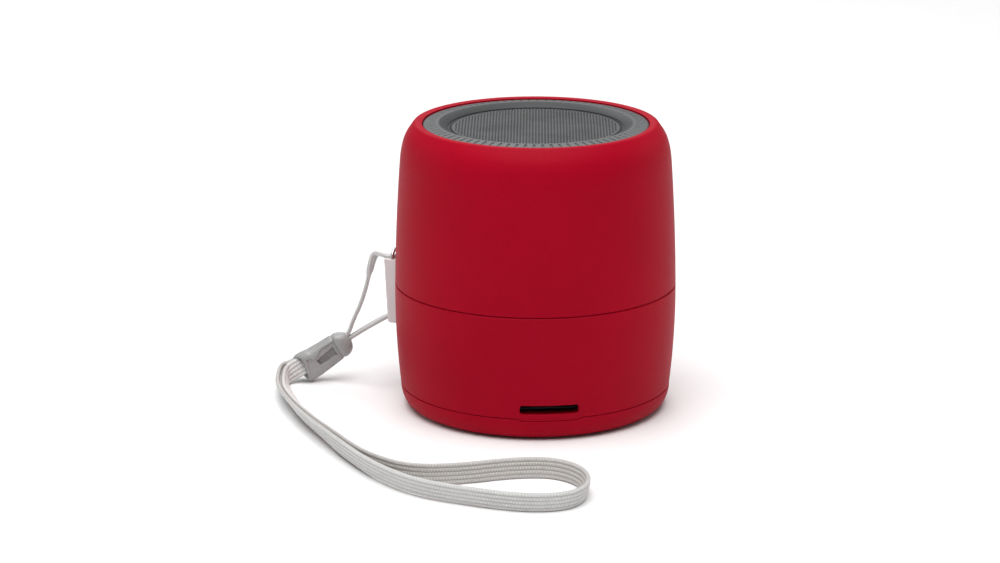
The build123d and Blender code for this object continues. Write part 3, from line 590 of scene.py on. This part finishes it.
# stations along each moulding: distance from the mouth, half width, reach down, reach up and
# squareness, all in millimetres
SLEEVE = [(2.5, 1.2, 1.9, 2.3, 4), (0.3, 1.5, 2.5, 2.5, 4), (0.05, 1.75, 2.8, 2.75, 3.6),
          (0.0, 2.0, 3.0, 2.95, 3.2), (0.15, 2.2, 3.25, 3.15, 3.0), (0.6, 2.35, 3.45, 3.35, 2.8),
          (2.0, 2.35, 3.5, 3.35, 2.8), (4.0, 2.3, 3.45, 3.1, 2.8), (7.0, 2.25, 3.2, 3.05, 2.7),
          (9.6, 2.15, 2.9, 3.1, 2.6), (10.05, 2.1, 2.8, 3.0, 2.5), (10.18, 1.95, 2.6, 2.8, 2.4)]
CAP = [(10.1, 1.9, 2.55, 2.8, 2.5), (10.3, 2.0, 2.7, 2.95, 2.5), (10.6, 2.1, 2.85, 3.05, 2.4),
       (11.1, 2.15, 2.9, 3.0, 2.35), (11.8, 2.05, 2.75, 2.8, 2.3), (12.6, 1.8, 2.3, 2.35, 2.25),
       (13.1, 1.5, 1.7, 1.95, 2.2), (13.45, 1.1, 0.8, 1.6, 2.3), (13.4, 0.85, 0.2, 1.4, 2.4),
       (12.7, 0.75, 0.1, 1.3, 2.5)]


SECTION_POINTS = 120


def rounded_section(half_x, down, up, power):
    """A superellipse as (x, y) points, reaching further down than up or the other way."""
    section = []
    for step in range(SECTION_POINTS):
        angle = 2 * math.pi * step / SECTION_POINTS
        x, y = math.cos(angle), math.sin(angle)
        section.append((math.copysign(abs(x) ** (2 / power), x) * half_x,
                        math.copysign(abs(y) ** (2 / power), y) * (up if y > 0 else down)))
    return section


def ferrule_loft(name, stations, carve, materials, node):
    """A moulding along the ferrule's axis, with each of its points moved by carve, which also gives
    each point's painted shade.
    """
    points, recess_shade = [], []
    place = ferrule_frame()
    for z, half_x, down, up, power in stations:
        for x, y in rounded_section(half_x, down, up, power):
            carved, depth = carve(x, y, z)
            points.append(place @ (Vector(carved) * MM))
            # painted shade: carve's second value sets how far this point's colour is darkened
            recess_shade.append(depth)
    faces = loft_faces(len(stations), SECTION_POINTS)
    piece = new_piece(name, points, faces, materials, "ferrule_grey")
    paint(piece, "recess_shade", recess_shade)
    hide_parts(node)


def fill_stations(stations, step):
    """Add stations between the given ones, a step apart, so that carving has points to move."""
    filled = [stations[0]]
    for first, second in zip(stations, stations[1:]):
        count = max(1, round(abs(second[0] - first[0]) / step))
        for index in range(1, count + 1):
            share = index / count
            filled.append(tuple(a + (b - a) * share for a, b in zip(first, second)))
    return filled


def slant_mouth(x, y, z):
    """The mouth is cut back on its near side, most of all near the top."""
    near = min(max(-x / 2.3, -1.0), 1.0)
    back = 0.9 + 0.9 * near + 0.28 * y * max(near, 0.0)
    return z + back * (1 - smooth_step(z, 0.5, 5.5))


def snap_window(x, y, z):
    """1 inside the window in the sleeve's near side, 0 outside it."""
    centre = -0.45 + 0.08 * (z - 4.5)
    half = 0.55 + 0.08 * (z - 4.5)
    along = smooth_step(z, 4.55 - 0.25 * y, 4.75 - 0.25 * y) * (1 - smooth_step(z, 9.2, 9.4))
    across = 1 - smooth_step(abs(y - centre), half, half + 0.15)
    return along * across * smooth_step(-x, 0.5, 1.2)


def carve_sleeve(x, y, z):
    """Sink the near side below a stepped ridge, and the snap window into it; the window's depth also
    gives its floor painted shade.
    """
    near = smooth_step(-x, 0.8, 1.6)
    ridge = 1.9 - 0.85 * smooth_step(z, 0.8, 4.2) + 1.15 * smooth_step(z, 4.6, 7.2)
    sunk = 0.45 * near * (1 - smooth_step(y, ridge - 0.4, ridge)) * smooth_step(z, 0.2, 1.0)
    # the window's depth also sets the painted shade on its floor
    depth = snap_window(x, y, z)
    return (x + sunk + 0.7 * depth, y, slant_mouth(x, y, z)), depth


def plain(x, y, z):
    """The cap's carving: none."""
    return (x, y, z), 0.0


def make_ferrule(materials):
    ferrule_loft("sleeve_moulding", fill_stations(SLEEVE, 0.1), carve_sleeve, materials,
                 "ferrule_sleeve")
    ferrule_loft("cap_moulding", fill_stations(CAP, 0.12), plain, materials, "ferrule_cap")


# ---------------------------------------------------------------- grille

GRILLE_R = 23.9
GRILLE_RIM = (20.7, 61.93)          # inner edge of the rim, which falls away outwards
GRILLE_EDGE_Z = 61.55
MESH_OPENING_R = 18.6
RING_BOTTOM = 60.0
RING_STEP = (21.3, 60.75)           # where the ring's thinner inner part begins underneath
RING_POINTS = 1872
RING_SHARP_TURN = 40                # edges that turn by more degrees are shaded sharp
MESH_TOP = 61.05
TICK_COUNT = 78
TICK_DEPTH = 0.22
TICK_HALF_WIDTH = 0.3
TICK_SPAN = (21.35, 23.3)
# where the rim has points between its edges, closest at the two ends of the grooves
RIM_RADII = (20.95, 21.3, 21.36, 21.6, 22.3, 23.0, 23.25, 23.34, 23.65)


def tick_depth(radius, angle):
    """Depth of the short radial grooves in the grille's rim."""
    if not TICK_SPAN[0] <= radius <= TICK_SPAN[1]:
        return 0.0
    pitch = 2 * math.pi / TICK_COUNT
    off_centre = abs(angle - round(angle / pitch) * pitch) * radius
    return TICK_DEPTH * (1 - smooth_step(off_centre, TICK_HALF_WIDTH * 0.4, TICK_HALF_WIDTH))


def rim_height(radius):
    """Height of the rim, which slopes down outwards."""
    share = (radius - GRILLE_RIM[0]) / (GRILLE_R - GRILLE_RIM[0])
    return GRILLE_RIM[1] + (GRILLE_EDGE_Z - GRILLE_RIM[1]) * share


def make_grille_ring(materials):
    """The ring as in the CAD model, with eased edges, radial grooves in its rim, and painted shade
    on its inner wall.
    """
    profile = [(MESH_OPENING_R, RING_STEP[1]), (MESH_OPENING_R - 0.02, MESH_TOP - 0.1),
               (MESH_OPENING_R + 0.12, MESH_TOP + 0.03)]
    profile += [(GRILLE_RIM[0] - 0.25, GRILLE_RIM[1] - 0.12), (GRILLE_RIM[0], GRILLE_RIM[1] - 0.03)]
    for radius in RIM_RADII:
        profile.append((radius, rim_height(radius)))
    profile += [(23.82, GRILLE_EDGE_Z - 0.03), (GRILLE_R, GRILLE_EDGE_Z - 0.12),
                (GRILLE_R, RING_BOTTOM), (RING_STEP[0], RING_BOTTOM), RING_STEP]
    points, recess_shade = [], []
    for step in range(RING_POINTS):
        angle = -math.pi + 2 * math.pi * step / RING_POINTS
        for radius, z in profile:
            # painted shade: the inner wall below the rim is marked to be darkened
            recess_shade.append(1.0 if radius < GRILLE_RIM[0] - 0.1 else 0.0)
            z -= tick_depth(radius, angle)
            points.append(Vector((radius * math.cos(angle), radius * math.sin(angle), z)) * MM)
    faces = loft_faces(RING_POINTS, len(profile), closed_along=True)
    ring = new_piece("grille_rim", points, faces, materials, "grille_grey")
    paint(ring, "recess_shade", recess_shade)
    mark_sharp(ring, RING_SHARP_TURN)
    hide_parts("grille_ring")


def mark_sharp(piece, degrees):
    """Shade edges that turn more than the angle as sharp."""
    mesh = piece.data
    solid = bmesh.new()
    solid.from_mesh(mesh)
    limit = math.radians(degrees)
    for edge in solid.edges:
        if len(edge.link_faces) == 2 and edge.calc_face_angle() > limit:
            edge.smooth = False
    solid.to_mesh(mesh)
    solid.free()


HOLE_PITCH = 0.75
HOLE_R = 0.23
HOLE_TURN = math.radians(84)        # from +X, so the rows run almost from front to back
EDGE_HOLE_PITCH = 0.9
EDGE_HOLE_R = 0.37
EDGE_HOLES_AT = 18.1
HOLE_GAP = 0.12                     # least metal between the field and the edge row
MESH_THICKNESS = 0.3
HOLE_SIDES = 8
MESH_R = 19.2
MESH_SIDES = 240
DOME_TOP = 61.35                    # height of the sheet's centre
DOME_FALL = 0.6                     # from there to the edge of the opening


def hole_centres():
    """A hexagonal field of holes, and one closer row round its edge."""
    centres = []
    row_height = HOLE_PITCH * math.sqrt(3) / 2
    rows = int(EDGE_HOLES_AT / row_height) + 1
    limit = EDGE_HOLES_AT - EDGE_HOLE_R - HOLE_R - HOLE_GAP
    for row in range(-rows, rows + 1):
        shift = HOLE_PITCH / 2 if row % 2 else 0.0
        for column in range(-rows, rows + 1):
            place = Matrix.Rotation(HOLE_TURN, 2) @ Vector((column * HOLE_PITCH + shift,
                                                            row * row_height))
            if place.length < limit:
                centres.append((*place, HOLE_R))
    count = round(2 * math.pi * EDGE_HOLES_AT / EDGE_HOLE_PITCH)
    for index in range(count):
        angle = 2 * math.pi * index / count
        centres.append((EDGE_HOLES_AT * math.cos(angle), EDGE_HOLES_AT * math.sin(angle),
                        EDGE_HOLE_R))
    return centres


def circle_points(x, y, radius, sides):
    return [Vector((x + radius * math.cos(2 * math.pi * step / sides),
                    y + radius * math.sin(2 * math.pi * step / sides))) for step in range(sides)]


def make_grille_mesh(materials):
    """The pressed sheet with every hole cut through."""
    flat = circle_points(0, 0, MESH_R, MESH_SIDES)
    loops = [list(range(MESH_SIDES))]
    for x, y, radius in hole_centres():
        start = len(flat)
        flat += circle_points(x, y, radius, HOLE_SIDES)
        loops.append(list(range(start, start + HOLE_SIDES)))
    edges = [(loop[index - 1], loop[index]) for loop in loops for index in range(len(loop))]
    points, _, faces, source, _, _ = delaunay_2d_cdt(flat, edges, [], 1, 1e-6)
    origin = {index: old[0] for index, old in enumerate(source) if old}
    hole_of = {}
    for number, loop in enumerate(loops[1:]):
        for index in loop:
            hole_of[index] = number
    kept = []
    for face in faces:
        holes = {hole_of.get(origin.get(index, -1), -1) for index in face}
        if len(holes) > 1 or holes == {-1}:
            kept.append(face)
    solid = bmesh.new()
    bottoms = []
    tops = []
    for point in points:
        dome = DOME_TOP - DOME_FALL * (point.length / MESH_OPENING_R) ** 2
        tops.append(solid.verts.new(Vector((point.x, point.y, dome)) * MM))
        bottoms.append(solid.verts.new(Vector((point.x, point.y, dome - MESH_THICKNESS)) * MM))
    for face in kept:
        solid.faces.new([tops[index] for index in face])
        solid.faces.new([bottoms[index] for index in reversed(face)])
    open_edges = [edge for edge in solid.edges if len(edge.link_faces) == 1]
    pair = {tops[index]: bottoms[index] for index in range(len(points))}
    for edge in open_edges:
        first, second = edge.verts
        if first in pair and second in pair:
            solid.faces.new([second, first, pair[first], pair[second]])
    bmesh.ops.delete(solid, geom=[v for v in solid.verts if not v.link_faces], context="VERTS")
    bmesh.ops.recalc_face_normals(solid, faces=solid.faces)
    mesh = bpy.data.meshes.new("perforated_sheet")
    solid.to_mesh(mesh)
    solid.free()
    sheet = add_piece("perforated_sheet", mesh, materials, "mesh_grey")
    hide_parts("grille_mesh")


# ---------------------------------------------------------------- key marks

KEY_Z = 17.0
KEY_SPACING = 7.5
KEY_FACE_R = 30.24
MARK_RAISE = 0.2                    # how far a stroke stands out of the key's face
MARK_SINK = 0.2                     # how far it reaches into the key
MARK_EDGE = 0.05                    # width of its bevelled edges
BAR = 0.22                          # half width of a stroke


def bar(x, y, half_x, half_y):
    """The corners of an upright rectangle."""
    return [(x - half_x, y - half_y), (x + half_x, y - half_y),
            (x + half_x, y + half_y), (x - half_x, y + half_y)]


MARKS = {
    "volume_down": [bar(0, 0, 0.95, BAR)],
    "play": [[(-1.15, -0.85), (0.15, 0.0), (-1.15, 0.85)], bar(0.55, 0, BAR * 0.8, 0.8),
             bar(1.15, 0, BAR * 0.8, 0.8)],
    "volume_up": [[(-BAR, -0.95), (BAR, -0.95), (BAR, -BAR), (0.95, -BAR), (0.95, BAR),
                   (BAR, BAR), (BAR, 0.95), (-BAR, 0.95), (-BAR, BAR), (-0.95, BAR),
                   (-0.95, -BAR), (-BAR, -BAR)]],
}


def make_key_mark(key, outlines, x, materials):
    """Raised strokes on a key's face, seen from +Y with +X to the left."""
    facing = Vector((x, math.sqrt(KEY_FACE_R ** 2 - x ** 2), 0)).normalized()
    across = Vector((-facing.y, facing.x, 0))
    centre = facing * KEY_FACE_R + Vector((0, 0, KEY_Z))
    solid = bmesh.new()
    for outline in outlines:
        low = [centre + across * u + UP * v - facing * MARK_SINK for u, v in outline]
        corners = [solid.verts.new(point * MM) for point in low]
        face = solid.faces.new(corners)
        moved = bmesh.ops.extrude_face_region(solid, geom=[face])["geom"]
        top = [item for item in moved if isinstance(item, bmesh.types.BMVert)]
        bmesh.ops.translate(solid, verts=top, vec=facing * (MARK_SINK + MARK_RAISE) * MM)
    bmesh.ops.recalc_face_normals(solid, faces=solid.faces)
    bmesh.ops.bevel(solid, geom=list(solid.edges), offset=MARK_EDGE * MM, segments=2,
                    affect="EDGES", profile=0.5, clamp_overlap=True)
    mesh = bpy.data.meshes.new(f"{key}_mark")
    solid.to_mesh(mesh)
    solid.free()
    add_piece(f"{key}_mark", mesh, materials, "key_red", body=f"{key}_key")


# ---------------------------------------------------------------- CAD nodes

def finish_cad_nodes(materials):
    """Give every CAD node the material of its slot in the record."""
    for row in frame["record"]["subparts"]:
        node = frame["nodes"][row["node"]]
        node.data.materials.clear()
        node.data.materials.append(materials[row["material_slot"]])


# ---------------------------------------------------------------- stage

FLOOR_HALF = 4.0                    # metres
SURROUND_STRENGTH = 0.19

# each lamp's name, place, the point that it faces, size across in metres, and power in watts
LAMPS = [("overhead", (-0.05, -0.18, 0.85), (0, 0, 0.03), 1.0, 11.6),
         ("left_box", (-0.9, 0.35, 0.35), (0, 0, 0.03), 0.5, 0.9),
         ("right_box", (0.9, 0.35, 0.35), (0, 0, 0.03), 0.5, 0.9),
         ("far_floor", (0, 1.2, 0.8), (0, 1.2, 0), 0.9, 6.0)]


def make_stage():
    """A pale floor, an even white surround, and soft lamps above, beside and behind."""
    floor_mesh = bpy.data.meshes.new("floor")
    corners = [(x * FLOOR_HALF, y * FLOOR_HALF, 0) for x, y in ((-1, -1), (1, -1), (1, 1), (-1, 1))]
    floor_mesh.from_pydata(corners, [], [(0, 1, 2, 3)])
    floor = bpy.data.objects.new("floor", floor_mesh)
    bpy.context.scene.collection.objects.link(floor)
    shader = Shader("floor")
    paper = shader.noise(40 * MM)
    shader.set(Base_Color=shader.mix(paper, (0.86, 0.86, 0.86, 1), (0.87, 0.87, 0.87, 1)),
               Roughness=0.7)
    floor_mesh.materials.append(shader.material)

    world = bpy.data.worlds.new("surround")
    world.use_nodes = True
    background = world.node_tree.nodes["Background"]
    background.inputs["Color"].default_value = (1, 1, 1, 1)
    background.inputs["Strength"].default_value = SURROUND_STRENGTH
    bpy.context.scene.world = world

    for row in LAMPS:
        make_lamp(*row)
    bpy.context.scene.view_settings.view_transform = "Standard"


def make_lamp(name, place, target, size, power):
    light = bpy.data.lights.new(name, "AREA")
    light.shape = "DISK"
    light.size = size
    light.energy = power
    holder = bpy.data.objects.new(name, light)
    bpy.context.scene.collection.objects.link(holder)
    holder.location = place
    aim = Vector(target) - Vector(place)
    holder.rotation_euler = aim.to_track_quat("-Z", "Y").to_euler()


# ---------------------------------------------------------------- build

make_camera()
materials = make_materials()
strap_lace(materials)
strap_tape(materials)
make_ferrule(materials)
make_grille_ring(materials)
make_grille_mesh(materials)
for (key, outlines), x in zip(MARKS.items(), (-KEY_SPACING, 0.0, KEY_SPACING)):
    make_key_mark(key, outlines, x, materials)
finish_cad_nodes(materials)
make_stage()
